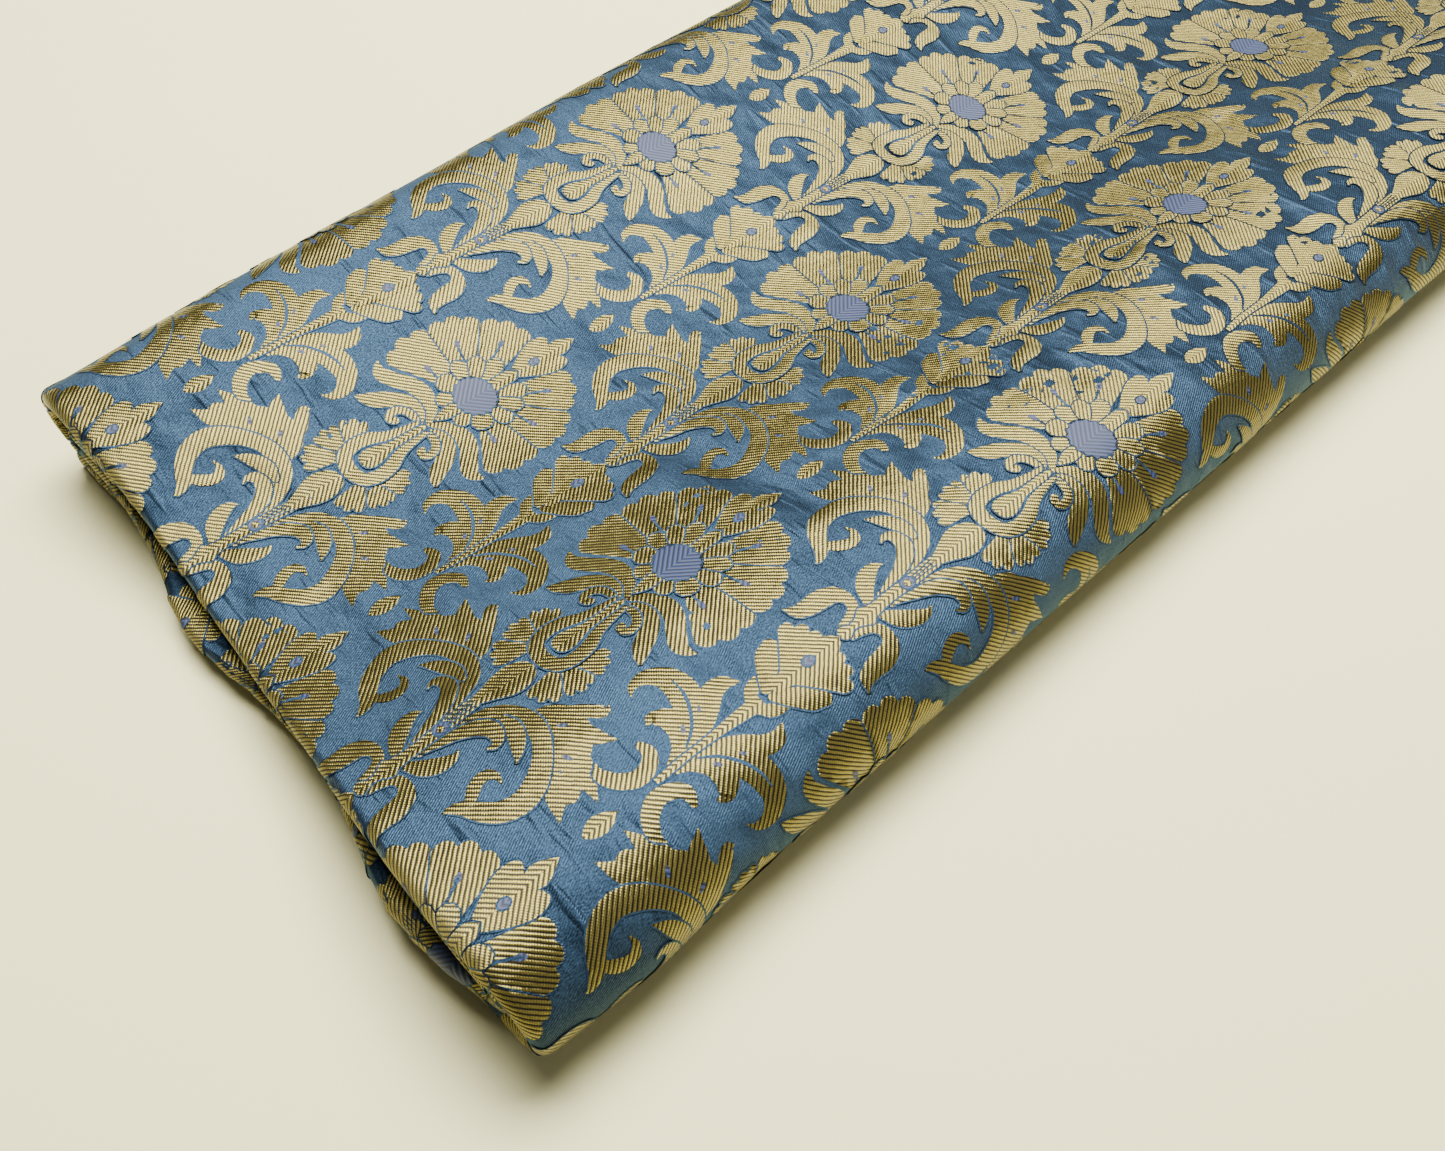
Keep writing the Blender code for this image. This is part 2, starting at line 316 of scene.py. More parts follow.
class FoldedCloth:
    """Table of the folded cloth's face: a place and an outward direction for each cell corner."""

    def __init__(self):
        paths = [fold_path(x) for x in STATIONS]
        ways = [surface_way(path, names) for names, path in paths]
        self.first = float(np.mean([way[0] for way in ways]))
        self.last = float(np.mean([way[-1] for way in ways]))
        self.along = cut_lines()
        near, far = (round(side / WIDTH_CUT) * WIDTH_CUT for side in TOP_FACE)
        coarse = WIDTH_CUT * COARSE_WIDTH
        middle = len(STATIONS) // 2
        turning = ways[middle][[name == "core turn" for name in paths[middle][0]]]
        self.core_turn = np.arange(turning[0] - WIDTH_CUT, turning[-1] + 2 * WIDTH_CUT, WIDTH_CUT)
        inner = np.arange(far + coarse, self.last - SLIVER, coarse)
        before = inner[inner < self.core_turn[0] - 0.001]
        after = inner[inner > self.core_turn[-1] + 0.001]
        self.across = np.concatenate([
            [self.first],
            np.arange(near, self.first + SLIVER, -coarse)[::-1][:-1],
            np.arange(near, far + 0.0001, WIDTH_CUT),
            before,
            self.core_turn,
            after,
            [self.last],
        ])
        flat_knots = (self.first, TOP_FACE[0], TOP_FACE[1], self.last)
        rows = []
        for (_, path), way in zip(paths, ways):
            reached = np.interp(self.across, flat_knots, (way[0], *TOP_FACE, way[-1]))
            rows.append(np.stack([np.interp(reached, way, path[:, item]) for item in range(5)], axis=1))
        fields = np.array(rows)
        names, path = fold_path(LEFT_LINE[0][1])
        way = surface_way(path, names)
        poke = np.zeros(len(names))
        for layer, table in LEFT_POKES.items():
            inside = np.array([name == layer for name in names])
            poke[inside] = smooth_curve(table, path[inside, 0])
        tangent = smooth_curve(LEFT_LINE, path[:, 0]) - poke + path[:, 4] / 2
        reached = np.interp(self.across, flat_knots, (way[0], *TOP_FACE, way[-1]))
        self.tangent = np.interp(reached, way, tangent)
        self.half_run = np.interp(reached, way, path[:, 4]) / 2
        shape = (len(self.along), len(self.across))
        self.place = np.zeros(shape + (3,))
        self.facing = np.zeros(shape + (3,))
        for column in range(shape[1]):
            self.fill_column(column, fields[:, column])

    def fill_column(self, column, fields):
        tangent = self.tangent[column]
        half = self.half_run[column]
        turn = np.clip((tangent - self.along) / half, 0.0, math.pi)
        inner = np.maximum(tangent - math.pi * half - self.along, 0.0)
        x = np.where(self.along >= tangent, self.along, tangent - half * np.sin(turn) + inner)
        y, z, out_y, out_z, run = (np.interp(x, STATIONS, fields[:, item]) for item in range(5))
        size = np.hypot(out_y, out_z)
        out_y, out_z = out_y / size, out_z / size
        offset = (run / 2 - FACE_INSET) * np.cos(turn)
        sink = FACE_INSET * np.sin(turn)
        self.place[:, column] = np.stack([x + sink, y + out_y * offset, z + out_z * offset], axis=1)
        upright = np.cos(turn)
        self.facing[:, column] = np.stack([-np.sin(turn), out_y * upright, out_z * upright], axis=1)

    def fold(self, flat):
        """Carry flat points, as rows of x, y, z, onto the folded cloth."""
        flat_x = np.clip(flat[:, 0], self.along[0], self.along[-1])
        flat_y = np.clip(flat[:, 1], self.across[0], self.across[-1])
        row = np.clip(np.searchsorted(self.along, flat_x) - 1, 0, len(self.along) - 2)
        column = np.clip(np.searchsorted(self.across, flat_y) - 1, 0, len(self.across) - 2)
        share_x = (flat_x - self.along[row]) / (self.along[row + 1] - self.along[row])
        share_y = (flat_y - self.across[column]) / (self.across[column + 1] - self.across[column])
        placed = np.zeros(flat.shape)
        facing = np.zeros(flat.shape)
        for step_x, part_x in ((0, 1 - share_x), (1, share_x)):
            for step_y, part_y in ((0, 1 - share_y), (1, share_y)):
                part = (part_x * part_y)[:, None]
                placed += part * self.place[row + step_x, column + step_y]
                facing += part * self.facing[row + step_x, column + step_y]
        facing /= np.linalg.norm(facing, axis=1)[:, None]
        placed += facing * flat[:, 2:3]
        placed[:, 0] -= STACK_MIDDLE[0]
        placed[:, 1] -= STACK_MIDDLE[1]
        return placed


def mesh_points(mesh):
    points = np.zeros(len(mesh.vertices) * 3)
    mesh.vertices.foreach_get("co", points)
    return points.reshape(-1, 3)


def set_points(mesh, points):
    mesh.vertices.foreach_set("co", points.astype(np.float32).ravel())
    mesh.update()


def set_weave_map(mesh, places):
    """UV map in millimetres of cloth: one row for each face corner."""
    layer = mesh.uv_layers.new(name="weave")
    layer.data.foreach_set("uv", places.astype(np.float32).ravel())


def corner_vertices(mesh):
    corners = np.zeros(len(mesh.loops), dtype=np.int32)
    mesh.loops.foreach_get("vertex_index", corners)
    return corners


def add_piece(name, mesh, materials):
    for material in materials:
        mesh.materials.append(material)
    piece = bpy.data.objects.new(name, mesh)
    bpy.context.scene.collection.objects.link(piece)
    return piece


# Outlines are drawn in columns: along the plant's axis from the disc, and out from the axis
TIP = 0.004                 # half width of a pointed end
ROUNDED_FROM = 0.008        # half width from which an end is rounded
CAP_TURNS = (22, 45, 67, 84)   # degrees round a rounded end
STRAIGHT = 0.1              # a spine that bends less than this has room on both sides
PLENTY = 9.0
BEND_SHARE = 0.85           # share of the bend's radius that a leaf may fill
DISC_RADII = (0.135, 0.120)
DISC_STRETCH = 1.18
DISC_STEPS = 32


def smooth_run(points, steps=3):
    """An even curve through some points, open at both ends."""
    points = np.array(points, float)
    padded = np.concatenate([[2 * points[0] - points[1]], points, [2 * points[-1] - points[-2]]])
    curve = []
    for start in range(len(points) - 1):
        before, here, after, beyond = padded[start:start + 4]
        for step in range(steps):
            share = step / steps
            lead = 2 * here + (after - before) * share
            ease = (2 * before - 5 * here + 4 * after - beyond) * share ** 2
            rest = (3 * here - before - 3 * after + beyond) * share ** 3
            curve.append((lead + ease + rest) / 2)
    curve.append(points[-1])
    return np.array(curve)


def blade(*rows, steps=3):
    """A leaf, stem or curl: rows of along, out and half width. An end with a width is rounded.

    It gives stations along the spine, each with its place, its sideways direction and its half width.
    """
    curve = smooth_run(rows, steps)
    spine, half = curve[:, :2], np.maximum(curve[:, 2], TIP)
    run = np.gradient(spine, axis=0)
    run /= np.linalg.norm(run, axis=1)[:, None]
    for end, sign in ((0, -1), (-1, 1)):
        if half[end] < ROUNDED_FROM:
            continue
        turns = np.radians(CAP_TURNS)
        cap = spine[end] + sign * run[end] * half[end] * np.sin(turns)[:, None]
        narrowed = half[end] * np.cos(turns)
        ahead = np.repeat(run[end][None], len(turns), axis=0)
        if end == 0:
            spine, half = np.concatenate([cap[::-1], spine]), np.concatenate([narrowed[::-1], half])
            run = np.concatenate([ahead, run])
        else:
            spine, half = np.concatenate([spine, cap]), np.concatenate([half, narrowed])
            run = np.concatenate([run, ahead])
    side = np.stack([-run[:, 1], run[:, 0]], axis=1)
    return {"spine": spine, "side": side, "half": half, "bend": bend_room(spine, run)}


def bend_room(spine, run):
    """How far a leaf may reach to each side at each station before its edge would fold over."""
    steps = np.linalg.norm(np.gradient(spine, axis=0), axis=1)
    turning = np.gradient(np.arctan2(run[:, 1], run[:, 0]), axis=0)
    turning = (turning + math.pi / 2) % math.pi - math.pi / 2
    curving = turning / np.maximum(steps, 1e-6)
    left = np.where(curving > STRAIGHT, BEND_SHARE / np.maximum(curving, STRAIGHT), PLENTY)
    right = np.where(curving < -STRAIGHT, BEND_SHARE / np.maximum(-curving, STRAIGHT), PLENTY)
    return np.stack([left, right], axis=1)


def round_spot(along, out, radius, length=None, lean=0.0):
    """A dot, or a longer spot that leans."""
    length = length or radius
    angles = np.linspace(0, 2 * math.pi, 13)[:-1]
    ahead = np.array([math.cos(lean), math.sin(lean)])
    side = np.array([-math.sin(lean), math.cos(lean)])
    centre = np.array([along, out])
    return np.array([
        centre + length * math.cos(angle) * ahead + radius * math.sin(angle) * side for angle in angles
    ])


def fan_petal(centre, aim, spread, inner, outer, scallops=3, notch=0.035, crown=0.035, waist=0.95):
    """A petal that widens outwards to a scalloped edge. aim and spread are in degrees."""
    edge = []
    for step in range(scallops * 5 + 1):
        share = step / (scallops * 5)
        wave = abs(math.sin(math.pi * scallops * share)) ** 0.6
        angle = spread * (1 - 2 * share)
        radius = outer - crown * abs(1 - 2 * share) ** 1.6 - notch * (1 - wave)
        edge.append((radius, angle))
    side = [(inner + (outer - notch - crown - inner) * share, spread * (waist + (1 - waist) * share))
            for share in (0.0, 0.35, 0.7)]
    rows = side + edge + [(radius, -angle) for radius, angle in side[::-1]]
    return np.array([
        (
            centre + radius * math.cos(math.radians(aim + angle)),
            radius * math.sin(math.radians(aim + angle)),
        )
        for radius, angle in rows
    ])


def scale_petal(aim, inner, outer, spread):
    """A small round-ended petal beside the disc."""
    rows = [(inner, spread * 0.55), (inner + (outer - inner) * 0.55, spread)]
    for step in range(1, 6):
        turn = math.pi * step / 6
        rows.append((outer - (outer - inner) * 0.42 * (1 - math.sin(turn)), spread * math.cos(turn)))
    rows += [(inner + (outer - inner) * 0.55, -spread), (inner, -spread * 0.55)]
    return np.array([
        (radius * math.cos(math.radians(aim + angle)), radius * math.sin(math.radians(aim + angle)))
        for radius, angle in rows
    ])


def disc_edge():
    """The flower's disc: a round with woven steps, a little wider across the cloth than along it."""
    edge = []
    for step in range(DISC_STEPS):
        radius = DISC_RADII[step % 2]
        angle = 2 * math.pi * step / DISC_STEPS + math.radians(3)
        edge.append((radius * math.cos(angle), radius * DISC_STRETCH * math.sin(angle)))
    return np.array(edge)


def on_axis(*rows, steps=3):
    """A closed outline that is the same on both sides of the axis, from one side's points."""
    half = smooth_run(rows, steps)
    other = half[::-1] * (1, -1)
    keep_first = abs(half[0, 1]) > 1e-6
    keep_last = abs(half[-1, 1]) > 1e-6
    other = other[0 if keep_last else 1:]
    return np.concatenate([half, other if keep_first else other[:-1]])


# The line satin is darker than the ground: partly the real outline and vein thread, partly painted shade
# along the edges of the raised gold shapes
GOLD, LINE_AND_EDGE_SHADE, VIOLET = 0, 1, 2
RISING, FALLING = -1, 1      # which way the twill runs on the side of the axis that is drawn


def mirrored(kind, level, twill, outline, contour=True):
    return [(kind, level, twill, outline, contour, True)]


def centred(kind, level, twill, outline, contour=True):
    return [(kind, level, twill, outline, contour, False)]


def flower_shapes():
    """The large flower: fan petals, inner scales, the disc and its spots."""
    shapes = []
    petals = ((102.5, 18.2, 0.65, RISING), (67.5, 17.3, 0.65, FALLING), (33, 17.4, 0.645, FALLING))
    for level, (aim, spread, outer, twill) in enumerate(petals):
        shapes += mirrored(GOLD, level, twill, fan_petal(0, aim, spread, 0.2, outer))
    shapes += centred(GOLD, 3, RISING, on_axis(
        (0.3, 0.03), (0.42, 0.105), (0.52, 0.145), (0.6, 0.145), (0.645, 0.115), (0.635, 0.07),
        (0.612, 0.048), (0.66, 0.062), (0.72, 0.045), (0.79, 0.0), steps=2,
    ))
    scales = ((27, 13.5, 0.335), (52, 13.0, 0.315), (78, 14.0, 0.305), (113, 19.0, 0.27), (150, 17.0, 0.245))
    for place, (aim, spread, outer) in enumerate(scales):
        twill = FALLING if place % 2 else RISING
        shapes += mirrored(GOLD, 4 + place % 2, twill, scale_petal(aim, 0.1, outer, spread))
    shapes += centred(GOLD, 5, RISING, on_axis(
        (0.09, 0.045), (0.2, 0.046), (0.29, 0.042), (0.335, 0.0),
    ))
    shapes += centred(GOLD, 5, RISING, on_axis(
        (-0.31, 0.0), (-0.25, 0.032), (-0.18, 0.045), (-0.1, 0.03),
    ))
    shapes += centred(VIOLET, 6, FALLING, disc_edge())
    shapes += centred(VIOLET, 4, FALLING, round_spot(0.467, 0.0, 0.024, 0.032))
    stamens = (
        ((-0.1, 0.25), (-0.104, 0.3), (-0.11, 0.345)),
        ((0.112, 0.25), (0.128, 0.33), (0.15, 0.398)),
        ((0.225, 0.17), (0.3, 0.195), (0.38, 0.242)),
    )
    for level, ((a1, o1), (a2, o2), (a3, o3)) in enumerate(stamens):
        shapes += mirrored(LINE_AND_EDGE_SHADE, level + 1, RISING, blade(
            (a1, o1, 0.008), (a2, o2, 0.008), (a3, o3, 0.008), steps=2,
        ), False)
        lean = math.atan2(o3 - o2, a3 - a2)
        shapes += mirrored(VIOLET, level + 1.2, RISING, round_spot(a3, o3, 0.018, 0.034, lean), False)
    return shapes


def calyx_shapes():
    """Behind the flower: curved sepals, a curl, the looped band and the scalloped collar."""
    shapes = []
    shapes += mirrored(GOLD, 1, RISING, blade(
        (-0.335, 0.57, 0.0), (-0.362, 0.528, 0.028), (-0.372, 0.472, 0.05), (-0.335, 0.4, 0.055),
        (-0.275, 0.32, 0.056), (-0.243, 0.232, 0.057), (-0.25, 0.14, 0.048), (-0.29, 0.062, 0.034),
        (-0.345, 0.01, 0.015),
    ))
    shapes += mirrored(GOLD, 2, RISING, blade(
        (-0.6, 0.43, 0.0), (-0.568, 0.388, 0.034), (-0.51, 0.335, 0.055), (-0.43, 0.285, 0.056),
        (-0.367, 0.225, 0.05), (-0.347, 0.155, 0.044), (-0.362, 0.085, 0.036), (-0.405, 0.03, 0.015),
    ))
    for level, (aim, outer) in enumerate(((50, 0.275), (97, 0.262), (147, 0.282))):
        petal = fan_petal(0, aim, 23.5, 0.09, outer, 3, 0.034, 0.015) + (-0.868, 0.085)
        shapes += mirrored(GOLD, level, RISING if level else FALLING, petal)
    shapes += mirrored(GOLD, 4, FALLING, blade(
        (-0.4, 0.045, 0.016), (-0.392, 0.105, 0.024), (-0.41, 0.162, 0.026), (-0.452, 0.198, 0.027),
        (-0.5, 0.198, 0.026), (-0.522, 0.168, 0.024), (-0.502, 0.142, 0.026),
    ))
    loop = [
        (-0.4, 0.047, 0.014), (-0.52, 0.06, 0.024), (-0.615, 0.08, 0.034), (-0.705, 0.124, 0.043),
        (-0.815, 0.136, 0.044), (-0.895, 0.098, 0.045), (-0.925, 0.0, 0.046),
    ]
    loop += [(along, -out, half) for along, out, half in loop[-2::-1]]
    shapes += centred(GOLD, 5, FALLING, blade(*loop))
    shapes += centred(GOLD, 5, RISING, on_axis(
        (-0.842, 0.0), (-0.832, 0.042), (-0.79, 0.068), (-0.725, 0.062), (-0.66, 0.04), (-0.61, 0.028),
        (-0.45, 0.024), (-0.37, 0.012), steps=2,
    ))
    return shapes


def stem_shapes():
    """The stem with its bulb, bead, bracts, drooping sepals and knot."""
    shapes = []
    shapes += mirrored(GOLD, 2, RISING, blade(
        (-1.565, 0.18, 0.0), (-1.61, 0.196, 0.028), (-1.68, 0.18, 0.048), (-1.75, 0.13, 0.05),
        (-1.8, 0.06, 0.03), (-1.83, 0.02, 0.012),
    ))
    shapes += mirrored(GOLD, 3, RISING, blade(
        (-2.17, 0.33, 0.0), (-2.13, 0.27, 0.04), (-2.06, 0.245, 0.055), (-1.98, 0.24, 0.062),
        (-1.905, 0.212, 0.052), (-1.872, 0.15, 0.036), (-1.89, 0.085, 0.03), (-1.95, 0.055, 0.024),
        (-2.03, 0.045, 0.012),
    ))
    shapes += centred(GOLD, 4, RISING, on_axis(
        (-2.07, 0.02), (-2.04, 0.045), (-1.99, 0.018), (-1.93, 0.03), (-1.885, 0.062), (-1.84, 0.045),
        (-1.78, 0.034), (-1.56, 0.034), (-1.34, 0.038), steps=2,
    ))
    shapes += centred(GOLD, 4, RISING, on_axis(
        (-1.34, 0.03), (-1.26, 0.06), (-1.18, 0.096), (-1.105, 0.104), (-1.04, 0.085), (-0.995, 0.045),
        (-0.982, 0.0), steps=2,
    ))
    shapes += centred(VIOLET, 5, FALLING, round_spot(-1.56, 0.0, 0.036, 0.04))
    shapes += centred(GOLD, 6, RISING, round_spot(-1.56, 0.0, 0.022, 0.02), False)
    for out in (0.0, 0.017):
        lines = [(-1.53, out, 0.0035), (-1.44, out, 0.0035), (-1.35, out * 1.4, 0.0035)]
        outline = blade(*lines, steps=2)
        shapes += (mirrored if out else centred)(LINE_AND_EDGE_SHADE, 5, RISING, outline, False)
    return shapes


def acanthus_shapes():
    """The scrolled leaf beside the stem, with its outer teeth, inner curl and two leaflets."""
    shapes = []
    body = (
        (-1.165, 0.262, 0.008), (-1.095, 0.335, 0.055), (-1.072, 0.44, 0.085), (-1.13, 0.56, 0.095),
        (-1.24, 0.655, 0.085), (-1.35, 0.7, 0.05), (-1.4, 0.71, 0.02),
    )
    shapes += mirrored(GOLD, 0, FALLING, blade(*body))
    teeth = (
        ((-1.17, 0.56, 0.07), (-1.25, 0.68, 0.09), (-1.325, 0.775, 0.055)),
        ((-1.32, 0.64, 0.04), (-1.385, 0.76, 0.048), (-1.445, 0.865, 0.0)),
        ((-1.18, 0.58, 0.08), (-1.205, 0.74, 0.062), (-1.245, 0.898, 0.0)),
        ((-1.11, 0.46, 0.07), (-1.045, 0.59, 0.056), (-0.965, 0.69, 0.0)),
        ((-1.12, 0.36, 0.06), (-0.99, 0.43, 0.045), (-0.905, 0.52, 0.035), (-0.868, 0.508, 0.0)),
    )
    for tooth in teeth:
        shapes += mirrored(GOLD, 0, FALLING, blade(*tooth), False)
    shapes += mirrored(GOLD, 2, FALLING, blade(
        (-1.72, 0.04, 0.018), (-1.56, 0.066, 0.03), (-1.42, 0.096, 0.048), (-1.312, 0.152, 0.062),
        (-1.238, 0.24, 0.064), (-1.215, 0.34, 0.056), (-1.238, 0.442, 0.048), (-1.305, 0.54, 0.052),
        (-1.4, 0.618, 0.062), (-1.5, 0.655, 0.064), (-1.6, 0.632, 0.06), (-1.682, 0.56, 0.052),
        (-1.735, 0.474, 0.042), (-1.8, 0.43, 0.018), (-1.825, 0.432, 0.0),
    ))
    shapes += mirrored(GOLD, 2, FALLING, blade(
        (-1.7, 0.48, 0.024), (-1.65, 0.432, 0.036), (-1.598, 0.404, 0.035), (-1.548, 0.408, 0.031),
        (-1.519, 0.448, 0.02), (-1.524, 0.502, 0.0),
    ), False)
    shapes += mirrored(GOLD, 3, FALLING, blade(
        (-1.41, 0.466, 0.0), (-1.362, 0.415, 0.03), (-1.318, 0.345, 0.044), (-1.296, 0.27, 0.042),
        (-1.3, 0.2, 0.02),
    ))
    shapes += mirrored(GOLD, 4, FALLING, blade(
        (-1.468, 0.285, 0.0), (-1.425, 0.3, 0.022), (-1.385, 0.272, 0.036), (-1.38, 0.205, 0.046),
        (-1.428, 0.142, 0.048), (-1.51, 0.096, 0.038), (-1.61, 0.07, 0.024), (-1.7, 0.05, 0.008),
    ))
    shapes += mirrored(VIOLET, 1, RISING, round_spot(-1.208, 0.618, 0.012, 0.03, 1.1), False)
    shapes += mirrored(VIOLET, 1, RISING, round_spot(-1.112, 0.444, 0.012, 0.03, 0.6), False)
    return shapes


def small_plant_shapes():
    """On the same axis: a drop, a pair of hooked leaves and a small flower."""
    shapes = []
    shapes += centred(GOLD, 0, RISING, on_axis(
        (0.925, 0.0), (0.965, 0.038), (1.025, 0.056), (1.09, 0.036), (1.14, 0.0),
    ))
    shapes += mirrored(GOLD, 1, FALLING, blade(
        (1.215, 0.272, 0.0), (1.192, 0.212, 0.034), (1.226, 0.132, 0.044), (1.31, 0.072, 0.048),
        (1.398, 0.088, 0.044), (1.446, 0.142, 0.038), (1.438, 0.205, 0.022),
    ))
    shapes += mirrored(GOLD, 0, RISING, blade(
        (1.545, 0.27, 0.01), (1.58, 0.28, 0.038), (1.64, 0.222, 0.062), (1.635, 0.13, 0.06),
        (1.56, 0.055, 0.034), (1.47, 0.02, 0.015),
    ))
    shapes += mirrored(GOLD, 0, RISING, blade(
        (1.48, 0.015, 0.015), (1.61, 0.035, 0.036), (1.74, 0.08, 0.05), (1.83, 0.14, 0.056),
        (1.905, 0.2, 0.058), (1.985, 0.205, 0.046), (2.045, 0.165, 0.01),
    ))
    shapes += mirrored(GOLD, 0, RISING, blade(
        (1.585, 0.452, 0.0), (1.63, 0.497, 0.024), (1.712, 0.497, 0.046), (1.782, 0.432, 0.066),
        (1.802, 0.335, 0.082), (1.78, 0.24, 0.084), (1.715, 0.15, 0.074), (1.615, 0.06, 0.045),
        (1.49, 0.02, 0.015),
    ), False)
    shapes += mirrored(LINE_AND_EDGE_SHADE, 1, RISING, blade(
        (1.8, 0.385, 0.0), (1.796, 0.3, 0.008), (1.762, 0.205, 0.01), (1.69, 0.105, 0.009),
        (1.6, 0.04, 0.006),
    ), False)
    shapes += mirrored(VIOLET, 1, RISING, round_spot(1.655, 0.13, 0.012, 0.026, 0.9), False)
    shapes += mirrored(VIOLET, 1, RISING, round_spot(1.79, 0.165, 0.01, 0.022, 0.9), False)
    shapes += centred(GOLD, 2, RISING, on_axis(
        (1.37, 0.016), (1.48, 0.02), (1.64, 0.018), (1.79, 0.026), (1.9, 0.036), (2.0, 0.044),
        (2.06, 0.06), steps=2,
    ))
    shapes += mirrored(GOLD, 2, RISING, blade(
        (2.0, 0.02, 0.02), (2.05, 0.07, 0.036), (2.11, 0.095, 0.036), (2.17, 0.11, 0.01),
    ))
    shapes += mirrored(GOLD, 3, RISING, blade(
        (2.12, 0.03, 0.03), (2.19, 0.1, 0.054), (2.26, 0.168, 0.066), (2.305, 0.205, 0.044),
    ))
    shapes += mirrored(GOLD, 4, RISING, fan_petal(2.19, 28, 21, 0.08, 0.385, 3, 0.034, 0.02))
    shapes += centred(GOLD, 5, RISING, on_axis(
        (2.14, 0.03), (2.25, 0.055), (2.36, 0.072), (2.47, 0.06), (2.55, 0.06), (2.61, 0.0), steps=2,
    ), False)
    shapes += centred(VIOLET, 6, FALLING, round_spot(2.385, 0.0, 0.026, 0.036))
    return shapes


# The gold lies a little above the satin, and each shape a step above the one behind it
LEVEL_STEP = 0.000095
CONTOUR_RISE = 0.000020
EDGE_RISE = 0.000030
PUFF = 0.000040
PUFF_EDGE = 0.00035
HAIR = 0.000004
HAIR_STEPS = 6
GROWN_TIP = 0.4             # share of the margin that is left at the ends of a grown leaf
LEAST_SHARE = 0.35          # share of a leaf's half width that a puffed face keeps
# Width of the darker band round each shape: the outline thread, with painted edge shade in its colour
CONTOUR_WIDTH = 0.00055
CELL_REACH = 0.016          # no coarse face reaches further than this along the fold's own cuts


def grown(outline, distance):
    """The outline moved outwards by a distance."""
    following = np.roll(outline, -1, axis=0)
    before = np.roll(outline, 1, axis=0)
    area = np.sum(outline[:, 0] * following[:, 1] - following[:, 0] * outline[:, 1])
    run = following - before
    run /= np.maximum(np.linalg.norm(run, axis=1), 1e-9)[:, None]
    side = np.stack([run[:, 1], -run[:, 0]], axis=1)
    return outline + side * distance * (1 if area > 0 else -1)


def add_patch(flat, layers, outline, height, kind, twill, puffed):
    """Fill one outline, in metres, as a patch of the flat mesh."""
    following = np.roll(outline, -1, axis=0)
    if np.sum(outline[:, 0] * following[:, 1] - following[:, 0] * outline[:, 1]) < 0:
        outline = outline[::-1]
    corners = [flat.verts.new((along, out, height)) for along, out in outline]
    faces = [flat.faces.new(corners)]
    if puffed:
        ring = bmesh.ops.inset_individual(
            flat, faces=faces[:], thickness=PUFF_EDGE, depth=PUFF, use_even_offset=False,
        )
        faces += ring["faces"]
    for part in faces:
        part.material_index = kind
        part[layers] = twill
    bmesh.ops.triangulate(flat, faces=[part for part in faces if len(part.verts) > 4])


def add_strip(flat, layers, strip, grow, height, kind, twill, puffed):
    """A leaf or stem, in metres, as a strip along its spine, grown by a margin all round."""
    spine, side, half, bend = strip["spine"], strip["side"], strip["half"] + grow, strip["bend"]
    if grow:
        run = np.stack([side[:, 1], -side[:, 0]], axis=1)
        spine = np.concatenate([spine[:1] - run[:1] * grow, spine, spine[-1:] + run[-1:] * grow])
        side = np.concatenate([side[:1], side, side[-1:]])
        half = np.concatenate([[grow * GROWN_TIP], half, [grow * GROWN_TIP]])
        bend = np.concatenate([bend[:1], bend, bend[-1:]])
    rails = [(1.0, 0.0, 0.0), (-1.0, 0.0, 0.0)]
    if puffed:
        rails = [(1.0, 0.0, 0.0), (1.0, PUFF_EDGE, PUFF), (-1.0, PUFF_EDGE, PUFF), (-1.0, 0.0, 0.0)]
    lines = []
    for way, inset, rise in rails:
        reach = np.minimum(np.maximum(half - inset, half * LEAST_SHARE), bend[:, 0 if way > 0 else 1]) * way
        points = spine + side * reach[:, None]
        lines.append([flat.verts.new((along, out, height + rise)) for along, out in points])
    for left, right in zip(lines, lines[1:]):
        for step in range(len(spine) - 1):
            part = flat.faces.new((left[step], right[step], right[step + 1], left[step + 1]))
            part.material_index = kind
            part[layers] = twill


def cut_flat(flat, axis, places, geometry=None):
    """Cut the flat mesh along straight lines, at some places on one axis."""
    normal = Vector((1, 0, 0)) if axis == 0 else Vector((0, 1, 0))
    geometry = geometry or flat.verts[:] + flat.edges[:] + flat.faces[:]
    for place in places:
        cut = bmesh.ops.bisect_plane(
            flat, geom=geometry, dist=1e-7, plane_co=normal * place, plane_no=normal,
        )
        geometry = cut["geom"]


def cut_near(flat, axis, places):
    """Cut only the part of the flat mesh that is near some places on one axis."""
    low, high = min(places) - CELL_REACH, max(places) + CELL_REACH
    near = [face for face in flat.faces if low < face.verts[0].co[axis] < high]
    geometry = set(near)
    for face in near:
        geometry.update(face.verts)
        geometry.update(face.edges)
    if near:
        cut_flat(flat, axis, places, list(geometry))


def mirrored_strip(strip):
    """The same leaf on the axis's other side, its stations in the other order."""
    flip = np.array((1, -1))
    return {"spine": strip["spine"][::-1] * flip, "side": -strip["side"][::-1] * flip,
            "half": strip["half"][::-1], "bend": strip["bend"][::-1]}


